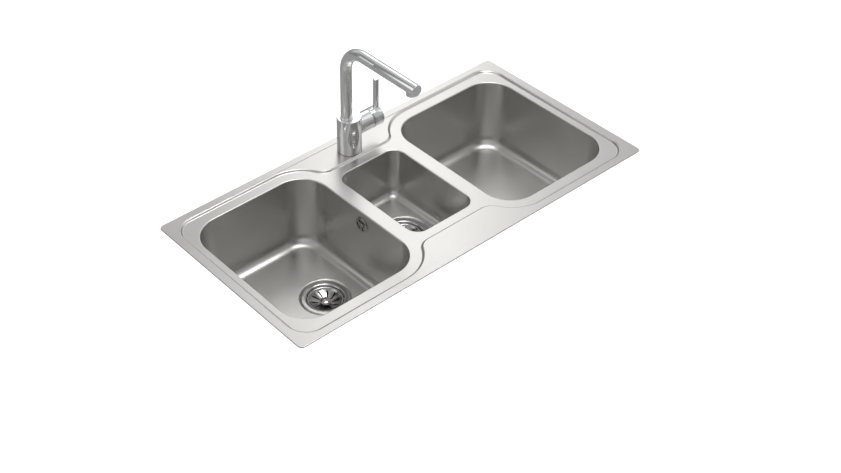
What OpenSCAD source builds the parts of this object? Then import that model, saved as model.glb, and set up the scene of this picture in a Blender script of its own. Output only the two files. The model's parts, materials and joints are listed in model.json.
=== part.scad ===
// Inset kitchen sink with two main bowls, a half bowl between them and a pull-out mixer tap.
//
// Frame: +X runs along the long side, +Y points to the tap side, +Z is up.
// The origin is the centre of the flange on the worktop's surface (z = 0).
// Every length is in millimetres.

/* [Deck] */
// Overall length of the flange along X
deck_w = 1000; // [990:1:1010]
// Overall depth of the flange along Y
deck_d = 500; // [495:1:505]
// Corner radius of the flange
deck_r = 12; // [6:1:20]
// Height of the flange's upper face above the worktop
flange_top = 2; // [2:0.5:3]
// Width of the flat border outside the pressed step
border = 20; // [18:1:22]
// Depth of the pressed recess below the flange
recess_drop = 5; // [4:0.5:6]

/* [Bowls] */
// Length of each main bowl along X
main_w = 331; // [326:1:340]
// Depth of each main bowl along Y
main_d = 396; // [390:1:398]
// Plan radius of the main bowls' corners
main_r = 70; // [60:1:80]
// Distance from the deck's centre to the centre of each main bowl
main_x = 293; // [290:1:295]
// Level of the main bowls' floors
main_floor = -188; // [-195:1:-175]
// Length of the half bowl along X
half_w = 175; // [170:1:182]
// Depth of the half bowl along Y
half_d = 268; // [260:1:270]
// Plan radius of the half bowl's corners
half_r = 30; // [27:1:34]
// Level of the half bowl's floor
half_floor = -131; // [-140:1:-120]

/* [Wastes] */
// Distance from the deck's centre to each main bowl's waste
waste_x = 238; // [230:1:240]
// Number of slots in each strainer basket
slot_count = 10; // [8:1:12]

/* [Tap] */
// Distance of the tap hole behind the deck's centre
tap_y = 194; // [192:1:196]
// Radius of the tap's body
body_r = 29; // [28:0.5:30]
// Level of the top of the tap's body
body_top = 94.5; // [92:0.5:98]
// Radius of the spout's tube
spout_r = 13.5; // [13:0.1:14]
// Level of the spout's horizontal axis
spout_z = 287; // [270:1:300]
// Centreline radius of the spout's bend
bend_r = 62; // [50:1:64]
// Distance of the joint between spout and spray head in front of the riser
seam_reach = 107; // [100:1:115]
// Distance of the spray head's end in front of the riser
head_reach = 233; // [220:1:240]
// Radius of the handle and of the branch that carries it
handle_r = 23.6; // [23:0.1:24]
// Level of the handle's axis
handle_z = 59.8; // [58:0.1:62]
// Level of the lever's upper end
lever_top = 160.5; // [140:0.5:180]

/* [Hidden] */
$fn = 64;
LEFT = 0;
CENTRE = 1;
RIGHT = 2;

sheet = 1;                               // thickness of the pressed steel
lip_w = 1.5;                             // width of the edge that touches the worktop
ledge_top = flange_top - 1;              // level of the two ledges
recess_top = flange_top - recess_drop;   // level of the pressed recess
rim_r = 3;                               // radius where the recess turns down into a bowl
rim_bottom = recess_top - rim_r - 2;     // level where each bowl is welded on

// The pressed step slopes over step_w, so outlines are given at its middle.
step_w = 6;
half_step = step_w / 2;
step_lap = 0.8;                          // how far the step runs into the flat areas beside it
press_x = deck_w / 2 - border - half_step;
press_y = deck_d / 2 - border + 1 - half_step;
press_r = 47;
ledge_y = 161.5;                         // front line of the ledge
ledge_x = 80;                            // half length of the ledge's straight front
ledge_r = 35;                            // radius of the ledge's corner
sweep_r = 137 - ledge_r;                 // radius of the sweep back to the border
ledge_tip = 1;                           // width left of the ledge where the sweep ends
sweep_a = acos(1 - (press_y - ledge_tip - ledge_y) / (ledge_r + sweep_r));
ledge_c = [ledge_x, ledge_y + ledge_r];
sweep_c = ledge_c + (ledge_r + sweep_r) * [sin(sweep_a), -cos(sweep_a)];

// One row for each bowl
bowl_x = [-main_x, 0, main_x];
bowl_w = [main_w, half_w, main_w];
bowl_d = [main_d, half_d, main_d];
bowl_r = [main_r, half_r, main_r];
bowl_floor = [main_floor, half_floor, main_floor];
cove_r = [28, 22, 28];
draft = [4, 3, 4];
drain_x = [-waste_x, 0, waste_x];

// Waste, radii and levels below the dish's upper face
dish_r = 60;
dish_drop = 3.5;
drain_r = 44;
cup_r = 43;
cup_wall = 1.2;
cup_h = 34;
flange_r = 57;
tail_r = 23.9;
tail_bore = 20.9;
tail_end = 95;
neck_top = 45;
neck_bottom = 62;
basket_r = 41.3;
knob_r = 12;

// Overflow in the left bowl's inner wall
over_x = -main_x + main_w / 2 - 1.3;
over_z = -37;
over_r = 19;
pipe_gap = 14.3;                         // from the wall's face to the pipe's centre line
pipe_x = over_x + pipe_gap;
pipe_r = 11;
pipe_bore = 9.2;
spigot_r = 9;
pipe_bend = 20;
pipe_z = main_floor - dish_drop - 24.5;

// Clips
clip_places = [
    for (x = [-380, -210, 210, 380], s = [0, 180]) [x, press_y - half_step, s],
    for (y = [-120, 120], s = [90, -90]) [y, press_x - half_step, s]
];
clip_drop = 52;
clip_arm = 31.5;
clip_screw = 18;
screw_top = -30;

// Tap
riser_x = -8;
shank_r = 16.5;
branch_end = 58;
pivot_x = 60;
seam_gap = 0.8;
seam_tilt = 5.5;
handle_end = 87.5;
lever_x = 80.5;
lever_w = 10;
seam_y = tap_y - 1 - seam_reach;
head_y = tap_y - 1 - head_reach;
nozzle_y = head_y + 17;
nozzle_r = 11.5;
hose_r = 5;
socket_r = 15;
socket_bottom = 48;
spigot_tube_r = 12.5;

steel = [0.74, 0.73, 0.70];
chrome = [0.85, 0.86, 0.88];
black = [0.10, 0.10, 0.11];
white = [0.90, 0.90, 0.88];
brass = [0.80, 0.66, 0.36];

// ---------- shared shapes ----------

// Rounded rectangle centred on the origin
module rounded_rect(w, d, r) {
    square([w - 2 * r, d], center = true);
    square([w, d - 2 * r], center = true);
    for (sx = [-1, 1], sy = [-1, 1])
        translate([sx * (w / 2 - r), sy * (d / 2 - r)]) circle(r);
}

// Sweeps a flat profile round a rounded rectangle. The profile's x is the
// distance outside the rectangle and its y is the height.
module sweep_round(w, d, r) {
    for (corner = [[1, 1, 0], [-1, 1, 90], [-1, -1, 180], [1, -1, 270]])
        translate([corner[0] * (w / 2 - r), corner[1] * (d / 2 - r), 0])
            rotate(corner[2]) rotate_extrude(angle = 90) translate([r, 0]) children();
    for (side = [[0, w, d], [90, d, w], [180, w, d], [270, d, w]])
        rotate(side[0]) translate([side[1] / 2, 0, 0]) rotate([90, 0, 0])
            linear_extrude(side[2] - 2 * r, center = true) children();
}

// Copies its children to all four quarters of the deck
module four_quarters() {
    for (sx = [0, 1], sy = [0, 1])
        mirror([sx, 0, 0]) mirror([0, sy, 0]) children();
}

module ring(outer, inner, bottom, top) {
    translate([0, 0, bottom]) difference() {
        cylinder(h = top - bottom, r = outer);
        translate([0, 0, -1]) cylinder(h = top - bottom + 2, r = inner);
    }
}

// A rod along +X
module rod_x(r, from, to) {
    translate([from, 0, 0]) rotate([0, 90, 0]) cylinder(h = to - from, r = r);
}

// A rod along +Y
module rod_y(r, from, to) {
    translate([0, to, 0]) rotate([90, 0, 0]) cylinder(h = to - from, r = r);
}

// ---------- deck ----------

// Stations along the ledge's curved front, each [x, y, direction] with the direction up the step
front = concat(
    [for (k = [0:12]) let (a = sweep_a * k / 12)
        [ledge_c[0] + ledge_r * sin(a), ledge_c[1] - ledge_r * cos(a), [-sin(a), cos(a)]]],
    [for (k = [15:-1:0]) let (a = sweep_a * k / 16)
        [sweep_c[0] - sweep_r * sin(a), sweep_c[1] + sweep_r * cos(a), [-sin(a), cos(a)]]]
);

// Plan of half the ledge on the +Y side, moved out by grow from the middle of the step
module ledge_half(grow, far) {
    curve = [for (p = front) [p[0], p[1]] - grow * p[2]];
    polygon(concat([[-1, ledge_y - grow]], curve, [[sweep_c[0], far], [-1, far]]));
}

module ledges(grow, far) {
    for (sx = [0, 1], sy = [0, 1])
        mirror([sx, 0]) mirror([0, sy]) ledge_half(grow, far);
}

// Floor of the recess, less the ledges and the openings for the bowls
module recess_floor() {
    inset = half_step + step_lap / 2;
    difference() {
        rounded_rect(2 * (press_x - inset), 2 * (press_y - inset), press_r - inset);
        ledges(0, deck_d / 2);
        for (i = [LEFT, CENTRE, RIGHT])
            translate([bowl_x[i], 0])
                rounded_rect(bowl_w[i] + 2 * rim_r, bowl_d[i] + 2 * rim_r, bowl_r[i] + rim_r);
    }
}

// Section of the sloping step between the recess and the flange
module step_section() {
    polygon([
        [-half_step - step_lap, recess_top], [-half_step, recess_top],
        [half_step, flange_top], [half_step + step_lap, flange_top],
        [half_step + step_lap, flange_top - sheet], [half_step + 0.3, flange_top - sheet],
        [-half_step + 0.6, recess_top - sheet], [-half_step - step_lap, recess_top - sheet]
    ]);
}

// The step along the ledge's curved front, upright in a plan of short straight lines
module front_step() {
    outer = [for (p = front) [p[0], p[1]] + sheet / 2 * p[2]];
    inner = [for (k = [len(front) - 1:-1:0]) [front[k][0], front[k][1]] - sheet / 2 * front[k][2]];
    translate([0, 0, recess_top - sheet]) linear_extrude(ledge_top - recess_top + sheet)
        polygon(concat(outer, inner));
}

module step_wall() {
    side_len = press_y - press_r;
    back_x = sweep_c[0] - 2;
    back_len = press_x - press_r - back_x;
    four_quarters() {
        translate([press_x, 0, 0]) rotate([90, 0, 0]) mirror([0, 0, 1])
            linear_extrude(side_len) step_section();
        translate([press_x - press_r, press_y - press_r, 0])
            rotate_extrude(angle = 90) translate([press_r, 0]) step_section();
        translate([back_x, press_y, 0]) rotate([90, 0, 90])
            linear_extrude(back_len) step_section();
        front_step();
        translate([0, ledge_y - sheet / 2, recess_top - sheet])
            cube([ledge_x, sheet, ledge_top - recess_top + sheet]);
    }
}

// Section of the rim that turns from the recess down into a bowl
module rim_section() {
    translate([rim_r, recess_top - rim_r]) intersection() {
        difference() {
            circle(rim_r);
            circle(rim_r - sheet);
        }
        translate([-rim_r, 0]) square(rim_r);
    }
    translate([0, rim_bottom]) square([sheet, recess_top - rim_r - rim_bottom]);
}

module sink_deck() color(steel) difference() {
    union() {
        translate([0, 0, flange_top - sheet]) linear_extrude(sheet) difference() {
            rounded_rect(deck_w, deck_d, deck_r);
            rounded_rect(2 * (press_x + half_step), 2 * (press_y + half_step), press_r + half_step);
        }
        linear_extrude(flange_top) difference() {
            rounded_rect(deck_w, deck_d, deck_r);
            rounded_rect(deck_w - 2 * lip_w, deck_d - 2 * lip_w, deck_r - lip_w);
        }
        translate([0, 0, ledge_top - sheet]) linear_extrude(sheet)
            ledges(0, press_y + half_step + 1.2);
        translate([0, 0, recess_top - sheet]) linear_extrude(sheet) recess_floor();
        step_wall();
        for (i = [LEFT, CENTRE, RIGHT])
            translate([bowl_x[i], 0, 0]) sweep_round(bowl_w[i], bowl_d[i], bowl_r[i]) rim_section();
    }
    translate([0, tap_y, -5]) cylinder(h = 10, r = shank_r + 1);
}

module deck_seal() color(black) {
    gap = 6;
    width = 8;
    linear_extrude(flange_top - sheet) difference() {
        rounded_rect(deck_w - 2 * gap, deck_d - 2 * gap, deck_r - gap / 2);
        rounded_rect(deck_w - 2 * (gap + width), deck_d - 2 * (gap + width), deck_r - gap);
    }
}

// ---------- bowls ----------

// Section of a bowl's wall and cove, from its welded edge down to its floor
module wall_section(i) {
    height = rim_bottom - bowl_floor[i] - cove_r[i];
    polygon([[0, 0], [sheet, 0], [sheet - draft[i], -height], [-draft[i], -height]]);
    translate([-draft[i] - cove_r[i], -height]) intersection() {
        difference() {
            circle(cove_r[i] + sheet);
            circle(cove_r[i]);
        }
        translate([0, -cove_r[i] - sheet]) square(cove_r[i] + sheet);
    }
}

// Round dish pressed into the floor, which carries the waste
module dish() {
    rotate_extrude() polygon([
        [dish_r + 1, 0], [dish_r, 0], [flange_r + 1, -dish_drop], [drain_r, -dish_drop],
        [drain_r, -dish_drop - sheet], [flange_r + 0.5, -dish_drop - sheet],
        [dish_r - 0.5, -sheet], [dish_r + 1, -sheet]
    ]);
}

module bowl(i) color(steel) {
    inset = draft[i] + cove_r[i];
    translate([bowl_x[i], 0, rim_bottom]) sweep_round(bowl_w[i], bowl_d[i], bowl_r[i]) wall_section(i);
    translate([0, 0, bowl_floor[i] - sheet]) linear_extrude(sheet) difference() {
        translate([bowl_x[i], 0])
            rounded_rect(bowl_w[i] - 2 * inset, bowl_d[i] - 2 * inset, bowl_r[i] - inset);
        translate([drain_x[i], 0]) circle(dish_r);
    }
    translate([drain_x[i], 0, bowl_floor[i]]) dish();
}

// The left bowl has the overflow's hole through its inner wall
module bowl_with_overflow() color(steel) difference() {
    bowl(LEFT);
    translate([over_x, 0, over_z]) rod_x(12, -10, 10);
}

module sound_pad(i) color(black) {
    pad = [110, 240, 3];
    side = i == LEFT ? -1 : 1;
    translate([side * 364, 0, bowl_floor[i] - sheet - pad[2] / 2]) cube(pad, center = true);
}

// ---------- clips ----------

// Copies its children to every clip; +Y points out from the pressed step
module each_clip() {
    for (p = clip_places)
        rotate(-p[2]) translate([p[0], p[1], 0]) children();
}

module clip_brackets() color(steel) each_clip()
    translate([-10, -9, recess_top - sheet - 30]) cube([20, 1.5, 30]);

module clip_hooks() color(steel) each_clip() difference() {
    union() {
        translate([-6, -7.5, -clip_drop]) cube([12, 1.5, 30]);
        translate([-6, -7.5, -clip_drop]) cube([12, clip_arm, 1.5]);
    }
    translate([0, clip_screw, -clip_drop - 1]) cylinder(h = 4, r = 2.5);
}

module clip_screws() color(chrome) each_clip() translate([0, clip_screw, 0]) {
    translate([0, 0, -clip_drop - 8]) cylinder(h = clip_drop + 8 + screw_top, r = 2.45);
    translate([0, 0, -clip_drop - 11]) cylinder(h = 3, r = 4.5);
    translate([0, 0, screw_top]) cylinder(h = 1.5, r = 4);
}

// ---------- wastes ----------

// Moves its children to a bowl's drain, with z = 0 on the dish's upper face
module at_drain(i) {
    translate([drain_x[i], 0, bowl_floor[i] - dish_drop]) children();
}

module waste_flange(i) color(steel) at_drain(i) {
    rotate_extrude() polygon([
        [cup_r - cup_wall, 1.6], [cup_r + 1, 2.6], [flange_r - 2, 2.6], [flange_r, 1], [flange_r, 0],
        [cup_r, 0], [cup_r, -cup_h], [cup_r - cup_wall, -cup_h]
    ]);
    difference() {
        translate([0, 0, -cup_h - cup_wall]) cylinder(h = cup_wall, r = cup_r);
        for (a = [0:60:300])
            rotate(a) translate([26, 0, -cup_h - 2]) cylinder(h = 4, r = 9);
        translate([0, 0, -cup_h - 2]) cylinder(h = 4, r = 3.3);
    }
}

module waste_washer(i) color(black) at_drain(i)
    ring(55, cup_r + 0.3, -sheet - 2.5, -sheet);

// Plastic housing below the bowl; the left one has a spigot for the overflow
module waste_body(i) color(black) at_drain(i) {
    difference() {
        union() {
            rotate_extrude() polygon([
                [56, -3.5], [56, -7], [48, -8], [48, -neck_top], [tail_r, -neck_bottom],
                [tail_r, -tail_end], [tail_bore, -tail_end], [tail_bore, -neck_bottom - 1],
                [44.5, -neck_top - 1], [44.5, -3.5]
            ]);
            if (i == LEFT) translate([0, 0, -24.5]) rod_x(spigot_r, 46, 64);
        }
        if (i == LEFT) translate([0, 0, -24.5]) rod_x(spigot_r - 2, 40, 70);
    }
    difference() {
        union() {
            translate([0, 0, -54]) cylinder(h = 16, r = 6.5);
            for (a = [0:120:240])
                rotate(a) translate([5, -1.5, -54]) cube([40.5, 3, 7.4]);
        }
        translate([0, 0, -60]) cylinder(h = 30, r = 3.1);
        rotate_extrude() polygon([
            [tail_bore + 1.5, -neck_bottom - 1], [46, -neck_top - 1], [60, -neck_top - 1],
            [60, -80], [tail_bore + 1.5, -80]
        ]);
    }
}

module waste_screw(i) color(chrome) at_drain(i) {
    translate([0, 0, -cup_h]) cylinder(h = 2.5, r = 6);
    translate([0, 0, -52]) cylinder(h = 52 - cup_h + 1, r = 3);
}

// Conical strainer with radial slots, a skirt and a stem
module strainer_basket(i) color(steel) at_drain(i) difference() {
    rotate_extrude() polygon([
        [0, -13], [12, -13], [34, -5], [38, -1.8], [basket_r, -1.6], [basket_r, -3],
        [39.5, -4], [39.5, -20], [38.3, -20], [38.3, -5], [34, -6.4], [12, -14.4],
        [4, -14.6], [4, -cup_h + 2.6], [0, -cup_h + 2.6]
    ]);
    for (k = [0:slot_count - 1])
        rotate(k * 360 / slot_count) translate([15, -1.3, -20]) cube([18, 2.6, 18]);
}

module strainer_knob(i) color(steel) at_drain(i) intersection() {
    translate([0, 0, -18.5]) sphere(r = 14.5);
    translate([0, 0, -13]) cylinder(h = 20, r = knob_r);
}

module basket_seal(i) color(black) at_drain(i)
    ring(41, 33, -23, -20);

// ---------- overflow ----------

module overflow_cover() color(steel) translate([over_x, 0, over_z]) difference() {
    rod_x(over_r, -2, 0);
    for (a = [90, 210, 330])
        rotate([a, 0, 0]) translate([-5, 3.5, -3]) cube([10, 11, 6]);
    rod_x(2.1, -5, 5);
}

module overflow_screw() color(chrome) translate([over_x, 0, over_z]) {
    rod_x(4, -3.2, -2);
    rod_x(2, -2.5, 20);
}

module overflow_seal() color(black) translate([over_x, 0, over_z]) difference() {
    rod_x(18, 2.2, 4.2);
    rod_x(13.5, 2, 5);
}

module overflow_body() color(black) translate([over_x, 0, over_z]) difference() {
    union() {
        rod_x(20, 4.2, 22);
        translate([pipe_x - over_x, 0, -34]) cylinder(h = 20, r = spigot_r);
    }
    difference() {
        rod_x(17, 3, 19.5);
        rod_x(4.5, 8, 20);
    }
    rod_x(2.05, 3, 20.5);
    translate([pipe_x - over_x, 0, -40]) cylinder(h = 30, r = spigot_r - 2);
}

// Rigid pipe from the overflow down between the bowls to the left waste
module overflow_pipe() color(white) {
    top = over_z - 22;
    turn = pipe_z + pipe_bend;
    end = -waste_x + 50;
    translate([pipe_x, 0, 0]) ring(pipe_r, pipe_bore, turn, top);
    translate([pipe_x - pipe_bend, 0, turn]) rotate([-90, 0, 0])
        rotate_extrude(angle = 90) translate([pipe_bend, 0]) difference() {
            circle(pipe_r);
            circle(pipe_bore);
        }
    translate([0, 0, pipe_z]) difference() {
        rod_x(pipe_r, end, pipe_x - pipe_bend);
        rod_x(pipe_bore, end - 1, pipe_x - pipe_bend + 1);
    }
}

// ---------- tap ----------

module at_tap() {
    translate([0, tap_y, 0]) children();
}

module at_riser() {
    translate([riser_x, tap_y - 1, 0]) children();
}

module at_handle() {
    translate([0, tap_y, handle_z]) children();
}

module tap_body() color(chrome) {
    foot = ledge_top + 0.6;
    difference() {
        union() {
            at_tap() translate([0, 0, foot]) cylinder(h = body_top - foot, r = body_r);
            at_handle() rod_x(handle_r, 0, branch_end);
        }
        at_riser() translate([0, 0, socket_bottom]) cylinder(h = 60, r = socket_r);
        at_riser() cylinder(h = 60, r = 8);
        at_handle() rod_x(20, 24, branch_end + 1);
        at_tap() translate([0, 0, -1]) cylinder(h = 13.1, r = shank_r + 0.05);
    }
}

module tap_gasket() color(black) at_tap() ring(body_r - 0.5, shank_r + 1, ledge_top, ledge_top + 0.6);

module tap_shank() color(brass) at_tap() difference() {
    translate([0, 0, -60]) cylinder(h = 72, r = shank_r);
    translate([riser_x, -1, -61]) cylinder(h = 74, r = 6.5);
    for (y = [-8, 8])
        translate([5, y, -61]) cylinder(h = 60, r = 4);
}

module stabiliser_plate() color(black) at_tap() ring(29, shank_r + 0.3, -8, ledge_top - sheet);

module tap_washer() color(steel) at_tap() ring(27, shank_r + 0.3, -10, -8);

module tap_nut() color(brass) at_tap() difference() {
    translate([0, 0, -22]) cylinder(h = 12, r = 25, $fn = 6);
    translate([0, 0, -23]) cylinder(h = 14, r = shank_r + 0.05);
}

// Riser, bend and fixed arm of the spout, with its spigot inside the body
module spout_tube() color(chrome) at_riser() {
    bore = spout_r - 1.5;
    foot = body_top + 3;
    ring(spigot_tube_r, spigot_tube_r - 2, socket_bottom + 2, foot);
    ring(spout_r, spigot_tube_r - 2, foot, foot + 2);
    ring(spout_r, bore, foot + 2, spout_z - bend_r);
    translate([0, -bend_r, spout_z - bend_r]) rotate([90, 0, 90])
        rotate_extrude(angle = 90) translate([bend_r, 0]) difference() {
            circle(spout_r);
            circle(bore);
        }
    translate([0, 0, spout_z]) difference() {
        rod_y(spout_r, -seam_reach + 0.6, -bend_r);
        rod_y(bore, -seam_reach - 1, -bend_r + 1);
    }
}

module spout_collar() color(chrome) at_riser() ring(15, spigot_tube_r + 0.05, body_top + 0.3, body_top + 3);

module spout_bush_upper() color(white) at_riser()
    ring(socket_r, spigot_tube_r + 0.05, body_top - 8, body_top - 0.5);

module spout_bush_lower() color(white) at_riser()
    ring(socket_r, spigot_tube_r + 0.05, socket_bottom + 3, socket_bottom + 11);

module cartridge() color(white) at_handle() rod_x(17.4, 24, 53);

module cartridge_nut() color(brass) at_handle() difference() {
    rod_x(20, 53, 57);
    rod_x(11, 52, 58);
}

module cartridge_collar() color(white) at_handle() rod_x(9, 53.4, 58.4);

module cartridge_stem() color(steel) at_handle() translate([pivot_x - 0.3, -4, -4])
    cube([14.2, 8, 8]);

// Hollow cap; its inner edge leans back so that it clears the branch when it tilts
module handle_cap() color(chrome) at_handle() difference() {
    rod_x(handle_r, branch_end, handle_end);
    translate([branch_end + seam_gap, -50, handle_r]) rotate([0, -seam_tilt, 0])
        translate([-40, 0, -120]) cube([40, 100, 160]);
    rod_x(20, branch_end - 1, 68);
    translate([60, -4.05, -4.05]) cube([13.95, 8.1, 8.1]);
    translate([lever_x - lever_w / 2 - 0.05, -lever_w / 2 - 0.05, 12])
        cube([lever_w + 0.1, lever_w + 0.1, 30]);
    translate([71, 0, -30]) cylinder(h = 26, r = 2.5);
}

module lever_rod() color(chrome) translate([lever_x - lever_w / 2, tap_y - lever_w / 2, handle_z + 12])
    cube([lever_w, lever_w, lever_top - handle_z - 12]);

module handle_grub_screw() color(black) at_handle() translate([71, 0, -14]) cylinder(h = 9.9, r = 2.45);

module spray_head() color(chrome) translate([riser_x, 0, spout_z]) difference() {
    rod_y(spout_r, head_y, seam_y);
    rod_y(spout_r - 1.8, head_y + 3, seam_y + 1);
    translate([0, nozzle_y, -20]) cylinder(h = 20, r = nozzle_r + 0.05);
}

// Plug that docks the head in the spout's end
module docking_collar() color(white) translate([riser_x, 0, spout_z]) difference() {
    rod_y(11.6, seam_y - 14, seam_y + 18);
    rod_y(hose_r, seam_y - 20, seam_y + 20);
}

module spray_nozzle() color(chrome) translate([riser_x, nozzle_y, spout_z])
    ring(nozzle_r, nozzle_r - 2, -spout_r - 4.5, -8);

module aerator() color(black) translate([riser_x, nozzle_y, spout_z])
    translate([0, 0, -spout_r - 3.5]) cylinder(h = 8, r = nozzle_r - 2.05);

// Hose from the spray head through the spout and down the shank
module spray_hose() color(black) at_riser() {
    translate([0, 0, -60]) cylinder(h = spout_z - bend_r + 60, r = hose_r);
    translate([0, -bend_r, spout_z - bend_r]) rotate([90, 0, 90])
        rotate_extrude(angle = 90) translate([bend_r, 0]) circle(hose_r);
    translate([0, 0, spout_z]) rod_y(hose_r, -seam_reach - 10, -bend_r);
}

sink_deck();
bowl_with_overflow();  // bowl_left
bowl(CENTRE);  // bowl_centre
bowl(RIGHT);  // bowl_right
deck_seal();
clip_brackets();
clip_hooks();
clip_screws();
sound_pad(LEFT);  // sound_pad_left
sound_pad(RIGHT);  // sound_pad_right
waste_flange(LEFT);  // waste_flange_left
waste_flange(CENTRE);  // waste_flange_centre
waste_flange(RIGHT);  // waste_flange_right
waste_washer(LEFT);  // waste_washer_left
waste_washer(CENTRE);  // waste_washer_centre
waste_washer(RIGHT);  // waste_washer_right
waste_body(LEFT);  // waste_body_left
waste_body(CENTRE);  // waste_body_centre
waste_body(RIGHT);  // waste_body_right
waste_screw(LEFT);  // waste_screw_left
waste_screw(CENTRE);  // waste_screw_centre
waste_screw(RIGHT);  // waste_screw_right
strainer_basket(LEFT);  // strainer_basket_left
strainer_basket(CENTRE);  // strainer_basket_centre
strainer_basket(RIGHT);  // strainer_basket_right
strainer_knob(LEFT);  // strainer_knob_left
strainer_knob(CENTRE);  // strainer_knob_centre
strainer_knob(RIGHT);  // strainer_knob_right
basket_seal(LEFT);  // basket_seal_left
basket_seal(CENTRE);  // basket_seal_centre
basket_seal(RIGHT);  // basket_seal_right
overflow_cover();
overflow_screw();
overflow_seal();
overflow_body();
overflow_pipe();
tap_body();
tap_gasket();
tap_shank();
stabiliser_plate();
tap_washer();
tap_nut();
spout_tube();
spout_collar();
spout_bush_upper();
spout_bush_lower();
cartridge();
cartridge_nut();
cartridge_collar();
cartridge_stem();
handle_cap();
lever_rod();
handle_grub_screw();
spray_head();
docking_collar();
spray_nozzle();
aerator();
spray_hose();
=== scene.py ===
import json
import math

import bpy
import numpy as np
from mathutils import Matrix, Vector, geometry

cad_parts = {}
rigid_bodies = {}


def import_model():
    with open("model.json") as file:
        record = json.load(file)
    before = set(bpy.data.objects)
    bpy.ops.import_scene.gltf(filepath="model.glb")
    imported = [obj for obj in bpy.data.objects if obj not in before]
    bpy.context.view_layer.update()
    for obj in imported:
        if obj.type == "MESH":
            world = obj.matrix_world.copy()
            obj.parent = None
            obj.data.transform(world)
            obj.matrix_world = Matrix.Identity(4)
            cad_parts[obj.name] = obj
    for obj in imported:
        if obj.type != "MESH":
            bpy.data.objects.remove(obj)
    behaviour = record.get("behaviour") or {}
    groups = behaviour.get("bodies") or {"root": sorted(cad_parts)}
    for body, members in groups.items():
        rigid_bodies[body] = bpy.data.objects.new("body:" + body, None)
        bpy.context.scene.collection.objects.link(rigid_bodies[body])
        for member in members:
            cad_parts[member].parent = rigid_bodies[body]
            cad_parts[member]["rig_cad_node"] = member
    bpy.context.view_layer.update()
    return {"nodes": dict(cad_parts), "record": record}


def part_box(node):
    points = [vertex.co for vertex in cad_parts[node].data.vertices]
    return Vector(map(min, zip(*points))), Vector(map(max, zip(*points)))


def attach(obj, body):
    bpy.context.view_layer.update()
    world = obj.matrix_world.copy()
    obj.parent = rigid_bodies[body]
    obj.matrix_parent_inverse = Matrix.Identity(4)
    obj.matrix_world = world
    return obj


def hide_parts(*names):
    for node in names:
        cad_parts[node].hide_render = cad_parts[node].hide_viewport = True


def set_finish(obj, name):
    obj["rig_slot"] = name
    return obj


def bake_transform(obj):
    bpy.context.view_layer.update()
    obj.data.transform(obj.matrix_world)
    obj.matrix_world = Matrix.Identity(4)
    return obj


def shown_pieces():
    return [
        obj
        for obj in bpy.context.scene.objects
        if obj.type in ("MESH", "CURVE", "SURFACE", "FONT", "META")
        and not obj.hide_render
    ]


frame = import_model()

MM = 0.001
TURN = 2 * math.pi


# ---------- meshes ----------


def make_piece(name, verts, faces, body, nodes, slot, normals=None, sharp=35):
    """Links a mesh given in millimetres, rides it on a body and hides the CAD nodes it stands for."""
    mesh = bpy.data.meshes.new(name)
    points = [tuple(float(c) * MM for c in v) for v in verts]
    mesh.from_pydata(points, [], [tuple(int(i) for i in f) for f in faces])
    mesh.validate()
    mesh.shade_smooth()
    if normals is not None:
        mesh.normals_split_custom_set_from_vertices([tuple(n) for n in normals])
    elif sharp:
        mesh.set_sharp_from_angle(angle=math.radians(sharp))
    obj = bpy.data.objects.new(name, mesh)
    bpy.context.scene.collection.objects.link(obj)
    if body:
        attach(obj, body)
    if nodes:
        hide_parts(*nodes)
    if slot:
        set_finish(obj, slot)
    return obj


class Parts:
    """Collects vertices and faces of one piece."""

    def __init__(self):
        self.verts = []
        self.faces = []

    def add(self, verts, faces):
        base = len(self.verts)
        self.verts += [tuple(v) for v in verts]
        self.faces += [tuple(i + base for i in f) for f in faces]

    def revolve(self, profile, axis=None, segs=96):
        """Turns a profile of (radius, height) about +Z, then places it with the 4x4 matrix axis."""
        verts, rings, faces = [], [], []
        for r, z in profile:
            if r < 1e-6:
                rings.append([len(verts)] * segs)
                verts.append((0, 0, z))
            else:
                rings.append(list(range(len(verts), len(verts) + segs)))
                angles = [TURN * k / segs for k in range(segs)]
                verts += [(r * math.cos(a), r * math.sin(a), z) for a in angles]
        for a, b in zip(rings, rings[1:]):
            for k in range(segs):
                m = (k + 1) % segs
                f = [a[k], a[m], b[m], b[k]]
                f = [v for i, v in enumerate(f) if v != f[i - 1]]
                if len(f) > 2:
                    faces.append(f)
        if axis is not None:
            verts = [tuple(axis @ Vector(v)) for v in verts]
        self.add(verts, faces)

    def tube(self, path, radius, segs=64, caps=True):
        """A round tube along points, with the radius given once or per point."""
        pts = [Vector(p) for p in path]
        radii = radius if isinstance(radius, (list, tuple)) else [radius] * len(pts)
        normal = None
        verts, faces = [], []
        for i, p in enumerate(pts):
            t = (pts[min(i + 1, len(pts) - 1)] - pts[max(i - 1, 0)]).normalized()
            if normal is None:
                normal = t.orthogonal().normalized()
            normal = (normal - normal.dot(t) * t).normalized()
            side = t.cross(normal)
            for k in range(segs):
                a = TURN * k / segs
                verts.append(tuple(p + radii[i] * (math.cos(a) * normal + math.sin(a) * side)))
        for i in range(len(pts) - 1):
            for k in range(segs):
                m = (k + 1) % segs
                faces.append((i * segs + k, i * segs + m, (i + 1) * segs + m, (i + 1) * segs + k))
        if caps:
            faces.append(tuple(range(segs - 1, -1, -1)))
            faces.append(tuple(range((len(pts) - 1) * segs, len(pts) * segs)))
        self.add(verts, faces)


def place(x=0, y=0, z=0, rot=None):
    """The 4x4 matrix that turns by rot and then moves to x, y, z."""
    m = Matrix.Translation((x, y, z))
    return m @ rot if rot is not None else m


ALONG_X = Matrix.Rotation(math.radians(90), 4, "Y")
ALONG_MINUS_Y = Matrix.Rotation(math.radians(90), 4, "X")


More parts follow.
